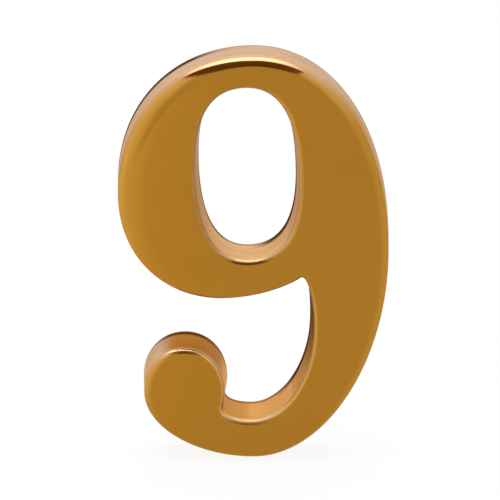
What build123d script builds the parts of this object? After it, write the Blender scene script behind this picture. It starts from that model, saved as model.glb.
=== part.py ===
"""House number: the numeral 9 as one solid brass casting.

The figure is a bold serif nine with an oval counter, strokes that swell on the flanks and thin at
the crown, and a tail that curls up into a ball terminal. Its walls draw in towards the front so
that it leaves the mould, and its front edges are polished round, most of all along the crown.

Frame: millimetres, +Z up the numeral, +X to the viewer's right, the front face towards -Y.
The back face lies on y = 0, and the origin is on it, in the middle of the stroke under the counter.
"""
import os
from math import cos, pi, radians, sin, tan

from build123d import *

# Overall size, measured on the back face, where the numeral is largest
HEIGHT = 50.0
WIDTH = 32.75
DEPTH = 6.5
DRAFT_ANGLE = 2.8

# Strokes at their thinnest or thickest point, measured on the back face
CROWN_STROKE = 4.25
BOWL_STROKE = 9.75
STEM_STROKE = 11.3
BASE_STROKE = 5.35
TAIL_STROKE = 5.3
TAIL_SIDE_STROKE = 9.45

# Heights above the foot where the outline runs upright or level
BOWL_SIDE_HEIGHT = 33.05
STEM_SIDE_HEIGHT = 25.85
BOWL_UNDERSIDE_HEIGHT = 20.1
APERTURE_SIDE_HEIGHT = 16.6
BALL_TOP_HEIGHT = 14.4

# The counter's widest points lie this far above its middle on the left and below it on the right
COUNTER_SLANT = 1.3

# Crotch, where the bowl's underside runs into the stem
CROTCH_FROM_SIDE = 1.15
CROTCH_RISE = 2.6
CROTCH_DROP = 0.15
CROTCH_LEAD = 3.75
UNDERSIDE_FROM_CROTCH = 9.55

# Ball at the end of the tail, and the notch where the tail runs into it
BALL_FROM_LEFT = 2.85
BALL_WIDTH = 10.3
BALL_SIDE_RISE = 1.5
BALL_TURN = 0.8
LOW_POINT_FROM_BALL = 2.9
NOTCH_FROM_BALL = 0.2
NOTCH_RISE = 1.75
NOTCH_LEAD = 0.75

# Fullness of the curves: 0.55 is a round quarter, more is squarer
BOWL_FULLNESS = 0.587
COUNTER_FULLNESS = 0.66
TAIL_FULLNESS = 0.537
BALL_FULLNESS = 0.58

# How far the polished edge comes down the wall
EDGE_ROUNDING = 0.62
CROWN_ROUNDING = 1.15
BOWL_ROUNDING = 0.95
STEM_ROUNDING = 0.7

# How far it rolls into the front face, where the buffing has worn the face down towards its sides
BOWL_ROLL = 3.2
STEM_ROLL = 1.4
BALL_ROLL = 1.2


class Touch:
    """A point of the outline, with how far its front edge is rounded down the wall and into the face."""

    def __init__(self, x, height, rounding=EDGE_ROUNDING, roll=None):
        self.point = Vector(x, height)
        self.rounding = rounding
        self.roll = roll or rounding


class Bow:
    """One curve of the outline: from touch to touch, inside the corner of their tangents."""

    def __init__(self, start, corner, end, fullness):
        self.start = start
        self.corner = corner
        self.end = end
        self.fullness = fullness


def metal_side(start, end):
    """Unit direction into the metal, which lies on the left of the outline."""
    along = (end - start).normalized()
    return Vector(-along.Y, along.X)


def mitre(first_side, first_reach, second_side, second_reach):
    """Move of the corner of two tangents that are drawn into the metal by their own reach."""
    turn = first_side.dot(second_side)
    if turn > 0.9999:
        return first_side * first_reach
    first_share = (first_reach - turn * second_reach) / (1 - turn * turn)
    second_share = (second_reach - turn * first_reach) / (1 - turn * turn)
    return first_side * first_share + second_side * second_share


def drawn_in(bows, draft, roll_share):
    """Control points of every bow, drawn into the metal by the draft and a share of the roll."""
    curves = []
    for number, bow in enumerate(bows):
        before = bows[number - 1]
        after = bows[(number + 1) % len(bows)]
        leaving = metal_side(bow.start.point, bow.corner)
        arriving = metal_side(bow.corner, bow.end.point)
        start_reach = draft + roll_share * bow.start.roll
        end_reach = draft + roll_share * bow.end.roll
        side_before = metal_side(before.corner, before.end.point)
        side_after = metal_side(after.start.point, after.corner)
        start = bow.start.point + mitre(side_before, start_reach, leaving, start_reach)
        corner = bow.corner + mitre(leaving, start_reach, arriving, end_reach)
        end = bow.end.point + mitre(arriving, end_reach, side_after, end_reach)
        first_handle = start + (corner - start) * bow.fullness
        second_handle = end + (corner - end) * bow.fullness
        curves.append([start, first_handle, second_handle, end])
    return curves


def numeral_bows():
    """Outer outline of the nine, from the crown down the left side and round to the crown again."""
    left = -WIDTH / 2
    right = WIDTH / 2
    aperture_right = right - TAIL_SIDE_STROKE
    crotch_x = aperture_right - CROTCH_FROM_SIDE
    crotch_height = BOWL_UNDERSIDE_HEIGHT + CROTCH_RISE
    ball_left = left + BALL_FROM_LEFT
    ball_right = ball_left + BALL_WIDTH
    notch_x = ball_right - NOTCH_FROM_BALL
    notch_height = TAIL_STROKE + NOTCH_RISE
    ball_side_height = notch_height + BALL_SIDE_RISE

    crown = Touch(0, HEIGHT, CROWN_ROUNDING)
    bowl_side = Touch(left, BOWL_SIDE_HEIGHT, BOWL_ROUNDING, BOWL_ROLL)
    underside = Touch(crotch_x - UNDERSIDE_FROM_CROTCH, BOWL_UNDERSIDE_HEIGHT)
    crotch = Touch(crotch_x, crotch_height)
    aperture_side = Touch(aperture_right, APERTURE_SIDE_HEIGHT)
    low_point = Touch(ball_right + LOW_POINT_FROM_BALL, TAIL_STROKE)
    notch = Touch(notch_x, notch_height)
    ball_right_side = Touch(ball_right, ball_side_height)
    ball_top = Touch((ball_left + ball_right) / 2, BALL_TOP_HEIGHT)
    ball_left_side = Touch(ball_left, ball_side_height, EDGE_ROUNDING, BALL_ROLL)
    foot = Touch(0, 0)
    stem_side = Touch(right, STEM_SIDE_HEIGHT, STEM_ROUNDING, STEM_ROLL)

    underside_corner = Vector(crotch_x - CROTCH_LEAD, BOWL_UNDERSIDE_HEIGHT)
    crotch_corner = Vector(aperture_right, crotch_height - CROTCH_DROP)
    notch_corner = Vector(notch_x - NOTCH_LEAD, TAIL_STROKE)
    ball_corner = Vector(ball_right, notch_height + BALL_SIDE_RISE * BALL_TURN)
    return [
        Bow(crown, Vector(left, HEIGHT), bowl_side, BOWL_FULLNESS),
        Bow(bowl_side, Vector(left, BOWL_UNDERSIDE_HEIGHT), underside, BOWL_FULLNESS),
        Bow(underside, underside_corner, crotch, BOWL_FULLNESS),
        Bow(crotch, crotch_corner, aperture_side, BALL_FULLNESS),
        Bow(aperture_side, Vector(aperture_right, TAIL_STROKE), low_point, TAIL_FULLNESS),
        Bow(low_point, notch_corner, notch, BALL_FULLNESS),
        Bow(notch, ball_corner, ball_right_side, BALL_FULLNESS),
        Bow(ball_right_side, Vector(ball_right, BALL_TOP_HEIGHT), ball_top, BALL_FULLNESS),
        Bow(ball_top, Vector(ball_left, BALL_TOP_HEIGHT), ball_left_side, BALL_FULLNESS),
        Bow(ball_left_side, Vector(ball_left, 0), foot, TAIL_FULLNESS),
        Bow(foot, Vector(right, 0), stem_side, TAIL_FULLNESS),
        Bow(stem_side, Vector(right, HEIGHT), crown, BOWL_FULLNESS),
    ]


def counter_bows():
    """Outline of the counter, drawn clockwise so that the metal is on its left as well."""
    left = -WIDTH / 2 + BOWL_STROKE
    right = WIDTH / 2 - STEM_STROKE
    top = HEIGHT - CROWN_STROKE
    bottom = BOWL_UNDERSIDE_HEIGHT + BASE_STROKE
    middle_x = (left + right) / 2
    middle_height = (top + bottom) / 2

    top_point = Touch(middle_x, top)
    right_point = Touch(right, middle_height - COUNTER_SLANT)
    bottom_point = Touch(middle_x, bottom)
    left_point = Touch(left, middle_height + COUNTER_SLANT)
    return [
        Bow(top_point, Vector(right, top), right_point, COUNTER_FULLNESS),
        Bow(right_point, Vector(right, bottom), bottom_point, COUNTER_FULLNESS),
        Bow(bottom_point, Vector(left, bottom), left_point, COUNTER_FULLNESS),
        Bow(left_point, Vector(left, top), top_point, COUNTER_FULLNESS),
    ]


def raised(curve, depth):
    """A curve's control points at a depth in front of the back face."""
    return [Vector(point.X, point.Y, depth) for point in curve]


def rounding_row(wall_row, sharp_row, face_row, angle, stretch):
    """Control points along the rounded edge, at an angle from the wall round to the face."""
    row = []
    for wall, sharp, face in zip(wall_row, sharp_row, face_row):
        centre = wall + face - sharp
        around = (wall - centre) * cos(angle) + (face - centre) * sin(angle)
        row.append(centre + around * stretch)
    return row


def rounding_faces(wall_row, sharp_row, face_row):
    """Quarter oval from the wall into the face, laid in narrow strips that stay light to mesh."""
    strip_count = 4
    half = pi / 4 / strip_count
    weights = [[1.0] * 4, [cos(half)] * 4, [1.0] * 4]
    faces = []
    for strip in range(strip_count):
        middle = (2 * strip + 1) * half
        lower = rounding_row(wall_row, sharp_row, face_row, middle - half, 1)
        between = rounding_row(wall_row, sharp_row, face_row, middle, 1 / cos(half))
        upper = rounding_row(wall_row, sharp_row, face_row, middle + half, 1)
        faces.append(Face.make_bezier_surface([lower, between, upper], weights))
    return faces


def side_faces(bows):
    """Drafted walls of a loop and the rounded edges that carry them into the front face."""
    draft = DEPTH * tan(radians(DRAFT_ANGLE))
    backs = drawn_in(bows, 0, 0)
    sharp_fronts = drawn_in(bows, draft, 0)
    face_edges = drawn_in(bows, draft, 1)
    faces = []
    for bow, back, sharp_front, face_edge in zip(bows, backs, sharp_fronts, face_edges):
        roundings = [bow.start.rounding, bow.start.rounding, bow.end.rounding, bow.end.rounding]
        back_row = raised(back, 0)
        sharp_row = raised(sharp_front, DEPTH)
        face_row = raised(face_edge, DEPTH)
        wall_row = []
        for back_point, sharp_point, rounding in zip(back_row, sharp_row, roundings):
            wall_row.append(sharp_point + (back_point - sharp_point) * (rounding / DEPTH))
        faces.append(Face.make_bezier_surface([back_row, wall_row]))
        faces.extend(rounding_faces(wall_row, sharp_row, face_row))
    return faces


def flat_face(outer_curves, counter_curves, depth):
    """Level face with the counter left open."""
    outer = Wire([Edge.make_bezier(*raised(curve, depth)) for curve in outer_curves])
    counter = Wire([Edge.make_bezier(*raised(curve, depth)) for curve in counter_curves])
    return Face(outer, [counter])


def make_numeral():
    """The whole numeral, drawn upright with its back on the sketch plane."""
    outer = numeral_bows()
    counter = counter_bows()
    draft = DEPTH * tan(radians(DRAFT_ANGLE))
    back = flat_face(drawn_in(outer, 0, 0), drawn_in(counter, 0, 0), 0)
    front = flat_face(drawn_in(outer, draft, 1), drawn_in(counter, draft, 1), DEPTH)
    return Solid(Shell([back, front, *side_faces(outer), *side_faces(counter)]))


origin_height = BOWL_UNDERSIDE_HEIGHT + BASE_STROKE / 2
numeral = Plane.XZ.location * Pos(0, -origin_height, 0) * make_numeral()
numeral.label = "numeral"

os.makedirs("parts", exist_ok=True)
export_step(numeral, "parts/numeral.step")
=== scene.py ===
"""A polished brass house number nine, standing on a pale studio floor."""

import math
from types import SimpleNamespace

import bmesh
import bpy
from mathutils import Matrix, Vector


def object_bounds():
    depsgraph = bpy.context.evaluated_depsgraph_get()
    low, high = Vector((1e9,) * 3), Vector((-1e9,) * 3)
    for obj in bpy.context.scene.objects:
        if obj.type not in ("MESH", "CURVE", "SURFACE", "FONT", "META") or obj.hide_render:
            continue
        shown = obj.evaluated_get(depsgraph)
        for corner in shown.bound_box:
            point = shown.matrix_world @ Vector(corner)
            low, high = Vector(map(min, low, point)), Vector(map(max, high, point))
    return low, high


MM = 0.001

# The camera looks down at the front face from a little above. Sensor and lens are in millimetres.
VIEW_ELEVATION = 15.5
VIEW_DISTANCE = 308.6 * MM
AIM_POINT = Vector((-0.435, 0.0, 1.96)) * MM
SENSOR_WIDTH = 36.0
LENS_LENGTH = 182.88
NEAREST_SEEN = 0.01
FARTHEST_SEEN = 20.0

# Colours of the brass: the buffed front, the edges, the walls, the dull stem side and the back, with painted
# light and shade where marked.
BRASS_COLOUR = (0.382, 0.172, 0.0175)
BRASS_COLOUR_WARM = (0.394, 0.180, 0.0200)
# Painted highlights on the rounded edge: the roll, the edge, and the edge inside the hollows.
ROLL_HIGHLIGHT_COLOUR = (0.47, 0.235, 0.042)
EDGE_HIGHLIGHT_COLOUR = (0.60, 0.35, 0.185)
INNER_EDGE_HIGHLIGHT_COLOUR = (0.85, 0.60, 0.33)
# Painted shade on the right-hand edge.
STEM_EDGE_SHADE_COLOUR = (0.45, 0.217, 0.029)
# Painted shade on the bay's sides, and painted light on the ball's right edge.
BAY_EDGE_SHADE_COLOUR = (0.60, 0.36, 0.09)
BALL_EDGE_HIGHLIGHT_COLOUR = (0.95, 0.58, 0.14)
# The front of the satin wall is painted paler, as a highlight.
SATIN_HIGHLIGHT_COLOUR_FRONT = (0.72, 0.50, 0.25)
SATIN_COLOUR = (0.61, 0.43, 0.31)
# Painted shade on walls that face to either side.
FLANK_SHADE_COLOUR = (0.51, 0.305, 0.14)
FILE_MARK_COLOUR = (0.46, 0.29, 0.17)
# Painted shade and golden bounce light in the counter and the bay.
COUNTER_SHADE_AND_BOUNCE_COLOUR = (0.86, 0.44, 0.10)
BAY_SHADE_AND_BOUNCE_COLOUR = (0.72, 0.33, 0.065)
SHADED_COLOUR = (0.40, 0.145, 0.011)
# The stem's dull inner side: patina with painted shade, darkest in the crook under the bowl.
DULL_COLOUR_LOW = (0.63, 0.35, 0.135)
DULL_COLOUR = (0.43, 0.190, 0.050)
CROOK_SHADE_COLOUR = (0.17, 0.070, 0.012)
# A painted shadow line along the back edge.
RIM_SHADOW_COLOUR = (0.060, 0.029, 0.012)
BACK_COLOUR = (0.36, 0.19, 0.046)
BACK_COLOUR_WORN = (0.42, 0.232, 0.062)
GRAZING_TINT = (0.97, 0.80, 0.60)

# How strongly a colour is laid on, where it doesn't cover in full.
FILE_MARK_SHARE = 0.7
COUNTER_SHARE = 0.45
BAY_SHARE = 0.8
NOTCH_SHARE = 0.42
BAY_LINE_SHARES = (0.4, 0.75)
BALL_LINE_SHARE = 0.85
FINE_LINE_SHARE = 0.6

# Roughness. A pair of values is the least and the most of an uneven finish.
BRASS_ROUGHNESS = (0.09, 0.14)
INNER_EDGE_ROUGHNESS = 0.28
WALL_ROUGHNESS = 0.42
COUNTER_EDGE_ROUGHNESS = 0.7
DULL_AND_SHADOW_ROUGHNESS = 0.75
TARNISH_SHINE = 0.0
BACK_ROUGHNESS = (0.3, 0.46)

# Hollows of the figure, as ovals in the front view: across and up from the origin in millimetres.
# An oval fades between two shares of its reach, and is so deep that depth doesn't count.
GAP_CENTRE = (-6.0, -7.0)
GAP_REACH = (5.0, 5.5)
NOTCH_CENTRE = (-3.0, -16.5)
NOTCH_REACH = (2.6, 2.4)
BAY_CENTRE = (1.0, -10.0)
BAY_REACH = (9.5, 11.0)
COUNTER_CENTRE = (-0.7, 12.5)
COUNTER_REACH = (7.5, 11.0)
OVAL_FADE = (1.25, 0.75)
OVAL_DEPTH = 1000.0

# In the next six groups a pair says where a mask starts and where it is full.
# Degrees by which the surface has turned away from the front face.
ROLL_TILT = (6, 26)
EDGE_TILT = (28, 53)
WALL_TILT = (63, 81)
HOLLOW_WALL_TILT = (61, 76)
HOLLOW_SIDE_TILT = (26, 49)
REAR_TILT = (120, 101)

# Depths in millimetres from the back, negative towards the front.
DEEP_DEPTH = (-6.25, -5.3)
SATIN_DEPTH = (-6.2, -4.2)
STEM_EDGE_DEPTH = (-1.6, -5.0)
BOWL_LINE_DEPTH = (-2.1, -0.85)
STEM_LINE_DEPTH = (-1.9, -0.9)
BAY_LINE_DEPTH = (-1.0, -0.5)
COUNTER_LINE_DEPTH = (-1.0, -0.4)
BALL_LINE_DEPTH = (-1.4, -0.75)
FINE_LINE_DEPTH = (-0.7, -0.2)
BACK_DEPTH = (-0.08, -0.02)

# Heights in millimetres from the origin.
BOWL_HEIGHT = (-2.0, 4.0)
ABOVE_TAIL_HEIGHT = (-14.0, -11.5)
BELOW_BOWL_HEIGHT = (-4.5, -6.5)
DULL_HEIGHT = (-12.5, -9.5)
CROOK_HEIGHT = (-9.5, -4.5)

# How far the outline looks up, from minus one to one.
ROLL_RISE = (-0.7, 0.0)
UPRIGHT_RISE = (0.9, 0.6)
COUNTER_EDGE_RISE = (0.97, 0.85)
COUNTER_LINE_RISE = (0.97, 0.75)
BALL_LINE_RISE = (0.45, 0.9)

# How far the outline looks to the right, from minus one to one.
STEM_EDGE_SIDE = (0.58, 0.88)
BALL_EDGE_SIDE = (0.25, 0.6)
STEM_LINE_SIDE = (-0.6, -0.85)
BAY_LINE_SIDE = (-0.2, -0.6)

# How far the surface itself looks up, to either side, or to the right.
EDGE_UPWARD = (0.1, 0.5)
FLANK_ACROSS = (0.72, 0.96)
COUNTER_SIDE_ACROSS = (0.86, 1.0)
STEM_SIDE_RIGHTWARD = (-0.80, -0.97)
BOWL_SIDE_RIGHTWARD = (-0.05, -0.42)

# Grain: patches per metre, or per metre along each axis, and the stretch of a noise that is used.
CLOUD_SCALE = 90.0
MOTTLE_SCALE = 420.0
WAVE_SCALE = 160.0
FILE_MARK_STRETCH = (70.0, 1100.0, 70.0)
BELT_STRETCH = (30.0, 30.0, 5200.0)
HAIRLINE_STRETCH = (9000.0, 9000.0, 500.0)
NOISE_SPAN = (0.3, 0.7)
FILE_MARK_SPAN = (0.45, 0.68)
BELT_SPAN = (0.35, 0.65)
RAGGED_LINE = 0.12 * MM
WAVE_DEPTH = 0.02 * MM
HAIRLINE_SHARE = 0.004

# The smoothed shading.
WELD_GAP = 0.002 * MM
CREASE_ANGLE = 40.0
AREA_WEIGHT = 50

# The studio. The floor lies a hair below the foot, so that the two don't share a plane.
WHITE = (1.0, 1.0, 1.0)
PAPER_COLOUR = (0.86, 0.86, 0.86)
PAPER_GLOW_SHARE = 0.9
SURROUND_LEVEL = 0.5
CEILING_SHADE = (0.20, 0.11, 0.07)
FLOOR_HALF_WIDTH = 1.5
FLOOR_GAP = 0.02 * MM
CARD_HALF_WIDTH = 0.5
DOWN = Vector((0.0, 0.0, -1.0))
UP = Vector((0.0, 0.0, 1.0))
RIGHT = Vector((1.0, 0.0, 0.0))
LEFT = Vector((-1.0, 0.0, 0.0))

# Where a Mix node keeps its two inputs and its output for each kind of value.
MIX_SOCKETS = {"RGBA": (6, 7, 2), "FLOAT": (2, 3, 0)}


def new_material(name):
    material = bpy.data.materials.new(name)
    material.use_nodes = True
    material.node_tree.nodes.clear()
    return material


def add_node(tree, kind, **settings):
    node = tree.nodes.new(kind)
    for setting, value in settings.items():
        setattr(node, setting, value)
    return node


def plug(tree, value, socket):
    """Feeds an input with another node's output, with a colour or with a plain number."""
    if isinstance(value, bpy.types.NodeSocket):
        tree.links.new(value, socket)
    elif isinstance(value, tuple):
        socket.default_value = (*value, 1.0)
    else:
        socket.default_value = value


def spread(tree, value, span, result=(0.0, 1.0), shape="LINEAR"):
    """Turns a span of a value into a span of results, and holds the ends beyond it."""
    ramp = add_node(tree, "ShaderNodeMapRange", interpolation_type=shape)
    for socket, number in zip(("From Min", "From Max", "To Min", "To Max"), (*span, *result)):
        ramp.inputs[socket].default_value = number
    tree.links.new(value, ramp.inputs["Value"])
    return ramp.outputs["Result"]


def depth_mask(tree, depth, span):
    return spread(tree, depth, (span[0] * MM, span[1] * MM), shape="SMOOTHSTEP")


def height_mask(tree, height, span):
    return spread(tree, height, (span[0] * MM, span[1] * MM))


def tilt_mask(tree, backward, span):
    return spread(tree, backward, [-math.cos(math.radians(angle)) for angle in span])


def round_mask(tree, place, centre, reach):
    """A mask that is one inside an oval of the front view, at any depth, and fades out across its edge."""
    sized = add_node(tree, "ShaderNodeMapping", vector_type="TEXTURE")
    sized.inputs["Location"].default_value = (centre[0] * MM, 0.0, centre[1] * MM)
    sized.inputs["Scale"].default_value = (reach[0] * MM, OVAL_DEPTH, reach[1] * MM)
    tree.links.new(place, sized.inputs["Vector"])
    length = add_node(tree, "ShaderNodeVectorMath", operation="LENGTH")
    tree.links.new(sized.outputs["Vector"], length.inputs[0])
    return spread(tree, length.outputs["Value"], OVAL_FADE, shape="SMOOTHSTEP")


def split(tree, vector):
    """The three parts of a place or a direction."""
    parts = add_node(tree, "ShaderNodeSeparateXYZ")
    tree.links.new(vector, parts.inputs["Vector"])
    return parts.outputs["X"], parts.outputs["Y"], parts.outputs["Z"]


def outline_direction(tree, rightward, upward):
    """How far the outline looks to the right, and how far up, at a point: from minus one to one."""
    around = add_node(tree, "ShaderNodeCombineXYZ")
    tree.links.new(rightward, around.inputs["X"])
    tree.links.new(upward, around.inputs["Z"])
    outward = add_node(tree, "ShaderNodeVectorMath", operation="NORMALIZE")
    tree.links.new(around.outputs["Vector"], outward.inputs[0])
    sideward, _, rise = split(tree, outward.outputs["Vector"])
    return sideward, rise


def noise(tree, place, scale, detail):
    grain = add_node(tree, "ShaderNodeTexNoise")
    grain.inputs["Scale"].default_value = scale
    grain.inputs["Detail"].default_value = detail
    tree.links.new(place, grain.inputs["Vector"])
    return grain.outputs["Fac"]


def drawn_noise(tree, place, stretch, detail):
    """Noise drawn out into streaks."""
    drawn = add_node(tree, "ShaderNodeMapping", vector_type="POINT")
    drawn.inputs["Scale"].default_value = stretch
    tree.links.new(place, drawn.inputs["Vector"])
    return noise(tree, drawn.outputs["Vector"], 1.0, detail)


def reckon(tree, operation, first, second=0.0):
    sum_node = add_node(tree, "ShaderNodeMath", operation=operation)
    plug(tree, first, sum_node.inputs[0])
    plug(tree, second, sum_node.inputs[1])
    return sum_node.outputs["Value"]


def both(tree, *masks):
    result = masks[0]
    for mask in masks[1:]:
        result = reckon(tree, "MULTIPLY", result, mask)
    return result


def either(tree, *masks):
    result = masks[0]
    for mask in masks[1:]:
        result = reckon(tree, "MAXIMUM", result, mask)
    return result


def outside(tree, mask):
    return reckon(tree, "SUBTRACT", 1.0, mask)


def blend(tree, kind, share, first, second):
    mix = add_node(tree, "ShaderNodeMix", data_type=kind)
    first_input, second_input, output = MIX_SOCKETS[kind]
    plug(tree, share, mix.inputs["Factor"])
    plug(tree, first, mix.inputs[first_input])
    plug(tree, second, mix.inputs[second_input])
    return mix.outputs[output]


def blend_colour(tree, share, first, second):
    return blend(tree, "RGBA", share, first, second)


def blend_value(tree, share, first, second):
    return blend(tree, "FLOAT", share, first, second)


def blend_shader(tree, share, first, second):
    mix = add_node(tree, "ShaderNodeMixShader")
    tree.links.new(share, mix.inputs["Fac"])
    tree.links.new(first, mix.inputs[1])
    tree.links.new(second, mix.inputs[2])
    return mix.outputs["Shader"]


def survey(tree):
    """What the finishes are laid out by: place, facing, the outline's direction and the figure's regions."""
    surface = add_node(tree, "ShaderNodeTexCoord")
    at = SimpleNamespace(place=surface.outputs["Object"])
    at.rightward, at.backward, at.upward = split(tree, surface.outputs["Normal"])
    _, at.depth, at.height = split(tree, at.place)
    at.across = reckon(tree, "ABSOLUTE", at.rightward)
    at.sideward, at.rise = outline_direction(tree, at.rightward, at.upward)
    at.mottle = noise(tree, at.place, MOTTLE_SCALE, detail=4.0)

    # Hollows of the figure. The mop reaches less there, so their edges are left rougher, and painted shade
    # and bounce light go on their walls.
    at.gap = round_mask(tree, at.place, GAP_CENTRE, GAP_REACH)
    at.notch = round_mask(tree, at.place, NOTCH_CENTRE, NOTCH_REACH)
    at.bay = round_mask(tree, at.place, BAY_CENTRE, BAY_REACH)
    at.counter = round_mask(tree, at.place, COUNTER_CENTRE, COUNTER_REACH)
    at.inner = either(tree, at.bay, at.counter, at.gap)

    # The rounded front edge, the walls behind it, the stem's inner side and the back.
    at.turned = tilt_mask(tree, at.backward, ROLL_TILT)
    at.roll = both(tree, at.turned, spread(tree, at.rise, ROLL_RISE))
    at.upright = spread(tree, at.rise, UPRIGHT_RISE)
    hollow_wall = tilt_mask(tree, at.backward, HOLLOW_WALL_TILT)
    hollow_side = tilt_mask(tree, at.backward, HOLLOW_SIDE_TILT)
    inner_wall = both(tree, blend_value(tree, at.upright, hollow_wall, hollow_side), at.inner)
    wall = either(tree, inner_wall, tilt_mask(tree, at.backward, WALL_TILT))
    at.wall = both(tree, wall, tilt_mask(tree, at.backward, REAR_TILT))
    at.deep = depth_mask(tree, at.depth, DEEP_DEPTH)
    at.stem_side = both(tree, spread(tree, at.rightward, STEM_SIDE_RIGHTWARD), at.bay)
    at.back = depth_mask(tree, at.depth, BACK_DEPTH)
    at.in_front = outside(tree, at.back)
    return at


def buffed_front_with_highlight(tree, at):
    """Colour of the front face and of the rounded edge, which is painted paler as it turns over into the
    wall: a painted highlight.
    """
    cloud = noise(tree, at.place, CLOUD_SCALE, detail=3.0)
    edge = both(tree, tilt_mask(tree, at.backward, EDGE_TILT), spread(tree, at.upward, EDGE_UPWARD))
    colour = blend_colour(tree, spread(tree, cloud, NOISE_SPAN), BRASS_COLOUR, BRASS_COLOUR_WARM)
    # Painted highlight and reflection: the roll is lighter where it faces up or sideways, the edge is paler
    # where it faces up, and it is palest in the hollows.
    colour = blend_colour(tree, at.roll, colour, ROLL_HIGHLIGHT_COLOUR)
    colour = blend_colour(tree, edge, colour, EDGE_HIGHLIGHT_COLOUR)
    return blend_colour(tree, both(tree, edge, at.inner), colour, INNER_EDGE_HIGHLIGHT_COLOUR)


def satin_walls(tree, at):
    """Colour of the walls, filed along the outline, with painted light and shade: paler towards the front,
    darker on the flanks, and with painted shade and golden bounce light deeper inside the hollows.
    """
    # Painted highlight near the front of the wall. In the bay the sides are painted darker, as shade, and
    # the ball's right edge is painted lighter.
    ball_edge = both(tree, at.bay, spread(tree, at.sideward, BALL_EDGE_SIDE))
    colour = blend_colour(tree, both(tree, at.upright, at.bay), SATIN_HIGHLIGHT_COLOUR_FRONT, BAY_EDGE_SHADE_COLOUR)
    colour = blend_colour(tree, ball_edge, colour, BALL_EDGE_HIGHLIGHT_COLOUR)
    colour = blend_colour(tree, depth_mask(tree, at.depth, SATIN_DEPTH), colour, SATIN_COLOUR)
    # Painted shade: walls that face to either side are darker.
    colour = blend_colour(tree, spread(tree, at.across, FLANK_ACROSS), colour, FLANK_SHADE_COLOUR)

    streaks = drawn_noise(tree, at.place, FILE_MARK_STRETCH, detail=2.0)
    file_marks = spread(tree, streaks, FILE_MARK_SPAN, (0.0, FILE_MARK_SHARE))
    colour = blend_colour(tree, file_marks, colour, FILE_MARK_COLOUR)

    # Painted shade: the ball's top under the bowl, the stem's inner side, the counter's sides and the notch.
    counter_side = both(tree, spread(tree, at.across, COUNTER_SIDE_ACROSS), at.counter)
    in_shade = either(tree, at.gap, at.stem_side, counter_side, both(tree, at.notch, NOTCH_SHARE))
    # Painted shade and golden bounce light deep in the counter and the bay.
    colour = blend_colour(tree, both(tree, at.counter, at.deep, COUNTER_SHARE), colour, COUNTER_SHADE_AND_BOUNCE_COLOUR)
    colour = blend_colour(tree, both(tree, at.bay, at.deep, BAY_SHARE), colour, BAY_SHADE_AND_BOUNCE_COLOUR)
    return blend_colour(tree, both(tree, in_shade, at.deep), colour, SHADED_COLOUR)


def stem_edge(tree, at):
    """The right-hand edge of the figure, painted in shade: it keeps the front's gold well back into the wall
    instead of the paler edge and satin.
    """
    looks_right = spread(tree, at.sideward, STEM_EDGE_SIDE)
    shallow = depth_mask(tree, at.depth, STEM_EDGE_DEPTH)
    return both(tree, looks_right, at.turned, outside(tree, at.inner), shallow)


def rear_shadow_line(tree, at):
    """A painted shadow: a dark, dull line along the back edge, broad on the bowl's left and the stem, fine
    elsewhere.
    """
    raggedness = spread(tree, at.mottle, NOISE_SPAN, (-RAGGED_LINE, RAGGED_LINE))
    ragged = reckon(tree, "ADD", at.depth, raggedness)

    bowl_left = spread(tree, at.rightward, BOWL_SIDE_RIGHTWARD)
    bowl_left = both(tree, bowl_left, height_mask(tree, at.height, BOWL_HEIGHT))
    stem_left = both(tree, at.bay, spread(tree, at.sideward, STEM_LINE_SIDE))
    bay_floor = both(tree, at.bay, spread(tree, at.sideward, BAY_LINE_SIDE, BAY_LINE_SHARES))
    counter_round = both(tree, at.counter, spread(tree, at.rise, COUNTER_LINE_RISE))
    above_tail = height_mask(tree, at.height, ABOVE_TAIL_HEIGHT)
    below_bowl = height_mask(tree, at.height, BELOW_BOWL_HEIGHT)
    ball_top = spread(tree, at.rise, BALL_LINE_RISE, (0.0, BALL_LINE_SHARE))
    ball_top = both(tree, above_tail, below_bowl, ball_top)

    stretches = (
        (BOWL_LINE_DEPTH, bowl_left),
        (STEM_LINE_DEPTH, stem_left),
        (BAY_LINE_DEPTH, bay_floor),
        (COUNTER_LINE_DEPTH, counter_round),
        (BALL_LINE_DEPTH, ball_top),
        (FINE_LINE_DEPTH, FINE_LINE_SHARE),
    )
    lines = [both(tree, depth_mask(tree, ragged, depth), where) for depth, where in stretches]
    return both(tree, either(tree, *lines), at.in_front)


def dull_brass_and_shade(tree, at):
    """Colour of the stem's dull inner side: partly patina and partly painted shade, lighter low down and
    darkest up in the crook under the bowl.
    """
    colour = blend_colour(tree, height_mask(tree, at.height, DULL_HEIGHT), DULL_COLOUR_LOW, DULL_COLOUR)
    return blend_colour(tree, height_mask(tree, at.height, CROOK_HEIGHT), colour, CROOK_SHADE_COLOUR)


def gloss(tree, at, dull_and_shadow_line, belt):
    """Roughness: least on the front, more on the hollows' edges and the walls, most on the dull stem side
    and the painted shadow line.
    """
    roughness = spread(tree, at.mottle, NOISE_SPAN, BRASS_ROUGHNESS)
    roughness = blend_value(tree, both(tree, at.roll, at.inner), roughness, INNER_EDGE_ROUGHNESS)
    bay_edge = both(tree, at.roll, at.bay, outside(tree, at.gap))
    roughness = blend_value(tree, either(tree, at.wall, bay_edge), roughness, WALL_ROUGHNESS)
    counter_edge = both(tree, at.counter, spread(tree, at.rise, COUNTER_EDGE_RISE))
    counter_edge = both(tree, counter_edge, at.roll, outside(tree, at.deep))
    roughness = blend_value(tree, counter_edge, roughness, COUNTER_EDGE_ROUGHNESS)
    roughness = blend_value(tree, dull_and_shadow_line, roughness, DULL_AND_SHADOW_ROUGHNESS)
    return blend_value(tree, at.back, roughness, spread(tree, belt, NOISE_SPAN, BACK_ROUGHNESS))


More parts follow.
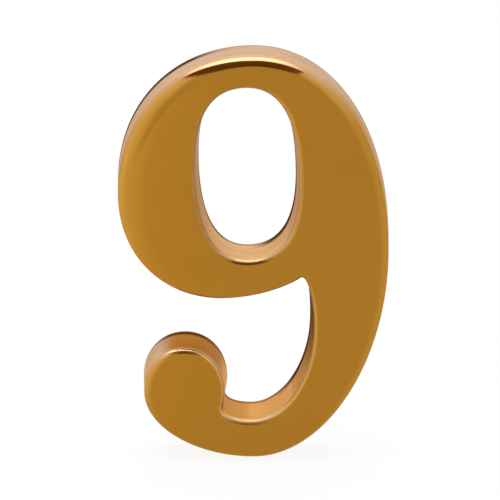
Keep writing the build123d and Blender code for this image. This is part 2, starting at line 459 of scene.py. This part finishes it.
def hand_polish(tree, at):
    """The slight waves and hairlines that a mop leaves."""
    waves = noise(tree, at.place, WAVE_SCALE, detail=1.0)
    hairlines = drawn_noise(tree, at.place, HAIRLINE_STRETCH, detail=2.0)
    bump = add_node(tree, "ShaderNodeBump")
    bump.inputs["Strength"].default_value = 1.0
    bump.inputs["Distance"].default_value = WAVE_DEPTH
    plug(tree, reckon(tree, "ADD", waves, both(tree, hairlines, HAIRLINE_SHARE)), bump.inputs["Height"])
    return bump.outputs["Normal"]


def polished_brass():
    """Cast brass: buffed front and edges with painted highlights, satin walls with painted shade, a dull
    brown stem side, a painted shadow line along the back, and a ground back.
    """
    material = new_material("polished_brass_buffed")
    tree = material.node_tree
    output = add_node(tree, "ShaderNodeOutputMaterial")
    metal = add_node(tree, "ShaderNodeBsdfPrincipled")
    tree.links.new(metal.outputs["BSDF"], output.inputs["Surface"])
    at = survey(tree)

    colour = blend_colour(tree, at.wall, buffed_front_with_highlight(tree, at), satin_walls(tree, at))
    # Painted shade on the right-hand edge.
    colour = blend_colour(tree, stem_edge(tree, at), colour, STEM_EDGE_SHADE_COLOUR)
    # A painted shadow line along the back, and the dull stem side. Both lose their metal.
    rim_shadow = rear_shadow_line(tree, at)
    dull = both(tree, at.stem_side, at.in_front)
    dull_and_shadow_line = either(tree, rim_shadow, dull)
    colour = blend_colour(tree, dull, colour, dull_brass_and_shade(tree, at))
    colour = blend_colour(tree, rim_shadow, colour, RIM_SHADOW_COLOUR)
    belt = drawn_noise(tree, at.place, BELT_STRETCH, detail=3.0)
    ground = blend_colour(tree, spread(tree, belt, BELT_SPAN), BACK_COLOUR, BACK_COLOUR_WORN)
    colour = blend_colour(tree, at.back, colour, ground)

    plug(tree, colour, metal.inputs["Base Color"])
    plug(tree, outside(tree, dull_and_shadow_line), metal.inputs["Metallic"])
    plug(tree, gloss(tree, at, dull_and_shadow_line, belt), metal.inputs["Roughness"])
    plug(tree, hand_polish(tree, at), metal.inputs["Normal"])
    plug(tree, GRAZING_TINT, metal.inputs["Specular Tint"])
    plug(tree, TARNISH_SHINE, metal.inputs["Specular IOR Level"])
    return material


def smooth_shading(piece):
    """Lets the polish run on without a break from the face over the rounded edge into the wall."""
    joined = piece.modifiers.new("joined", "WELD")
    joined.merge_threshold = WELD_GAP
    creases = piece.modifiers.new("creases", "EDGE_SPLIT")
    creases.use_edge_angle = True
    creases.split_angle = math.radians(CREASE_ANGLE)
    creases.use_edge_sharp = False
    polish = piece.modifiers.new("polish", "WEIGHTED_NORMAL")
    polish.mode = "FACE_AREA"
    polish.weight = AREA_WEIGHT
    polish.keep_sharp = False


def seen_or_mirrored(tree):
    """One for what the camera sees directly, through glass or in polished metal, and nought for lighting."""
    rays = add_node(tree, "ShaderNodeLightPath")
    ways = ("Is Camera Ray", "Is Transmission Ray", "Is Glossy Ray")
    return either(tree, *(rays.outputs[way] for way in ways))


def glowing(tree, kind, colour, level):
    """A shader that shines evenly: a card's face, or the world's surround."""
    light = add_node(tree, kind)
    plug(tree, colour, light.inputs["Color"])
    plug(tree, level, light.inputs["Strength"])
    return light.outputs[0]


def studio_paper(name):
    """White paper that the camera and the polished metal see as white, with a faint shadow left on it."""
    material = new_material(name)
    tree = material.node_tree
    output = add_node(tree, "ShaderNodeOutputMaterial")
    paper = add_node(tree, "ShaderNodeBsdfDiffuse")
    plug(tree, PAPER_COLOUR, paper.inputs["Color"])
    white = glowing(tree, "ShaderNodeEmission", WHITE, 1.0)
    share = both(tree, seen_or_mirrored(tree), PAPER_GLOW_SHARE)
    plug(tree, blend_shader(tree, share, paper.outputs["BSDF"], white), output.inputs["Surface"])
    return material


def flat_sheet(name, half_width, height, material):
    mesh = bpy.data.meshes.new(name)
    shape = bmesh.new()
    bmesh.ops.create_grid(shape, x_segments=1, y_segments=1, size=half_width)
    bmesh.ops.translate(shape, verts=shape.verts, vec=(0.0, 0.0, height))
    shape.to_mesh(mesh)
    shape.free()
    mesh.materials.append(material)
    sheet = bpy.data.objects.new(name, mesh)
    bpy.context.collection.objects.link(sheet)
    return sheet


def studio_floor(foot_height):
    paper = studio_paper("studio_paper")
    floor = flat_sheet("studio_floor", FLOOR_HALF_WIDTH, foot_height - FLOOR_GAP, paper)


def turned_to(direction):
    return direction.to_track_quat("-Z", "Y").to_euler()


def soft_box(name, place, width, depth, level):
    """A lamp over the object. The metal doesn't mirror it, but the soft-ended cards in its place."""
    lamp = bpy.data.lights.new(name, "AREA")
    lamp.shape = "RECTANGLE"
    lamp.size = width
    lamp.size_y = depth
    lamp.energy = level * width * depth * math.pi
    box = bpy.data.objects.new(name, lamp)
    box.location = place
    box.rotation_euler = turned_to(DOWN)
    box.visible_glossy = False
    bpy.context.collection.objects.link(box)


def card_face(name, shade, level, softness):
    """A face that shines evenly and thins out to nothing towards its two sides."""
    material = new_material(name)
    tree = material.node_tree
    output = add_node(tree, "ShaderNodeOutputMaterial")
    clear = add_node(tree, "ShaderNodeBsdfTransparent")
    glow = glowing(tree, "ShaderNodeEmission", shade, level)
    across, _, _ = split(tree, add_node(tree, "ShaderNodeTexCoord").outputs["Object"])
    from_middle = reckon(tree, "ABSOLUTE", across)
    fade = spread(tree, from_middle, (CARD_HALF_WIDTH, CARD_HALF_WIDTH - softness), shape="SMOOTHSTEP")
    plug(tree, blend_shader(tree, fade, clear.outputs["BSDF"], glow), output.inputs["Surface"])
    return material


def reflector(name, place, faces, width, height, softness, level=1.0, shade=WHITE):
    """A card that only the polished metal shows."""
    card = flat_sheet(name, CARD_HALF_WIDTH, 0.0, card_face(name, shade, level, softness))
    card.location = place
    card.scale = (width, height, 1.0)
    card.rotation_euler = turned_to(faces)
    card.visible_camera = False
    card.visible_diffuse = False
    card.visible_shadow = False


def studio_world():
    world = bpy.data.worlds.new("studio_surround")
    world.use_nodes = True
    tree = world.node_tree
    tree.nodes.clear()
    output = add_node(tree, "ShaderNodeOutputWorld")
    surround = glowing(tree, "ShaderNodeBackground", WHITE, SURROUND_LEVEL)
    white = glowing(tree, "ShaderNodeBackground", WHITE, 1.0)
    plug(tree, blend_shader(tree, seen_or_mirrored(tree), surround, white), output.inputs["Surface"])
    bpy.context.scene.world = world


def camera():
    lens = bpy.data.cameras.new("camera")
    lens.sensor_width = SENSOR_WIDTH
    lens.lens = LENS_LENGTH
    lens.clip_start = NEAREST_SEEN
    lens.clip_end = FARTHEST_SEEN
    viewer = bpy.data.objects.new("camera", lens)
    tilt = math.radians(VIEW_ELEVATION)
    viewer.location = AIM_POINT + VIEW_DISTANCE * Vector((0.0, -math.cos(tilt), math.sin(tilt)))
    viewer.rotation_euler = (math.pi / 2 - tilt, 0.0, 0.0)
    bpy.context.collection.objects.link(viewer)
    bpy.context.scene.camera = viewer


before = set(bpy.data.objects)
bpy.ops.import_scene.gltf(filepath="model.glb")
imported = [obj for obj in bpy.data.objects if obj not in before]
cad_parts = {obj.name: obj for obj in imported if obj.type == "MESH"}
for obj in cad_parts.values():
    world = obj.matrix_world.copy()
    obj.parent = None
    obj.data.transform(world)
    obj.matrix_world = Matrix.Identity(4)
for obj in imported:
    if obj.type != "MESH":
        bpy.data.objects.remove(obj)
cad_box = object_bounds()

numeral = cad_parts["numeral"]
numeral.data.materials[0] = polished_brass()
smooth_shading(numeral)

# Places and sizes in the studio are in metres.
studio_floor(cad_box[0].z)
soft_box("front_box", place=(-0.12, -0.14, 0.75), width=1.1, depth=0.24, level=4.0)
soft_box("rear_box", place=(0.0, 0.30, 0.75), width=0.9, depth=0.62, level=2.4)
reflector(
    "rear_glow", place=(-0.04, 0.30, 0.75), faces=DOWN, width=1.2, height=0.62, softness=0.36,
    level=2.8,
)
reflector(
    "overhead_glow", place=(-0.09, -0.04, 0.70), faces=DOWN, width=1.1, height=0.30, softness=0.40,
    level=3.2,
)
reflector(
    "dark_ceiling", place=(0.0, -1.331, 0.33), faces=DOWN, width=0.54, height=2.5, softness=0.08,
    shade=CEILING_SHADE,
)
reflector(
    "left_card", place=(-0.122, -0.12, -0.022), faces=UP, width=0.25, height=0.28, softness=0.22,
    level=1.27,
)
reflector(
    "left_screen", place=(-0.16, -0.20, 0.09), faces=RIGHT, width=0.56, height=0.24, softness=0.35,
    level=1.32,
)
reflector(
    "right_screen", place=(0.16, -0.20, 0.16), faces=LEFT, width=0.56, height=0.18, softness=0.35,
    level=1.16,
)
studio_world()
camera()
bpy.context.scene.view_settings.view_transform = "Standard"
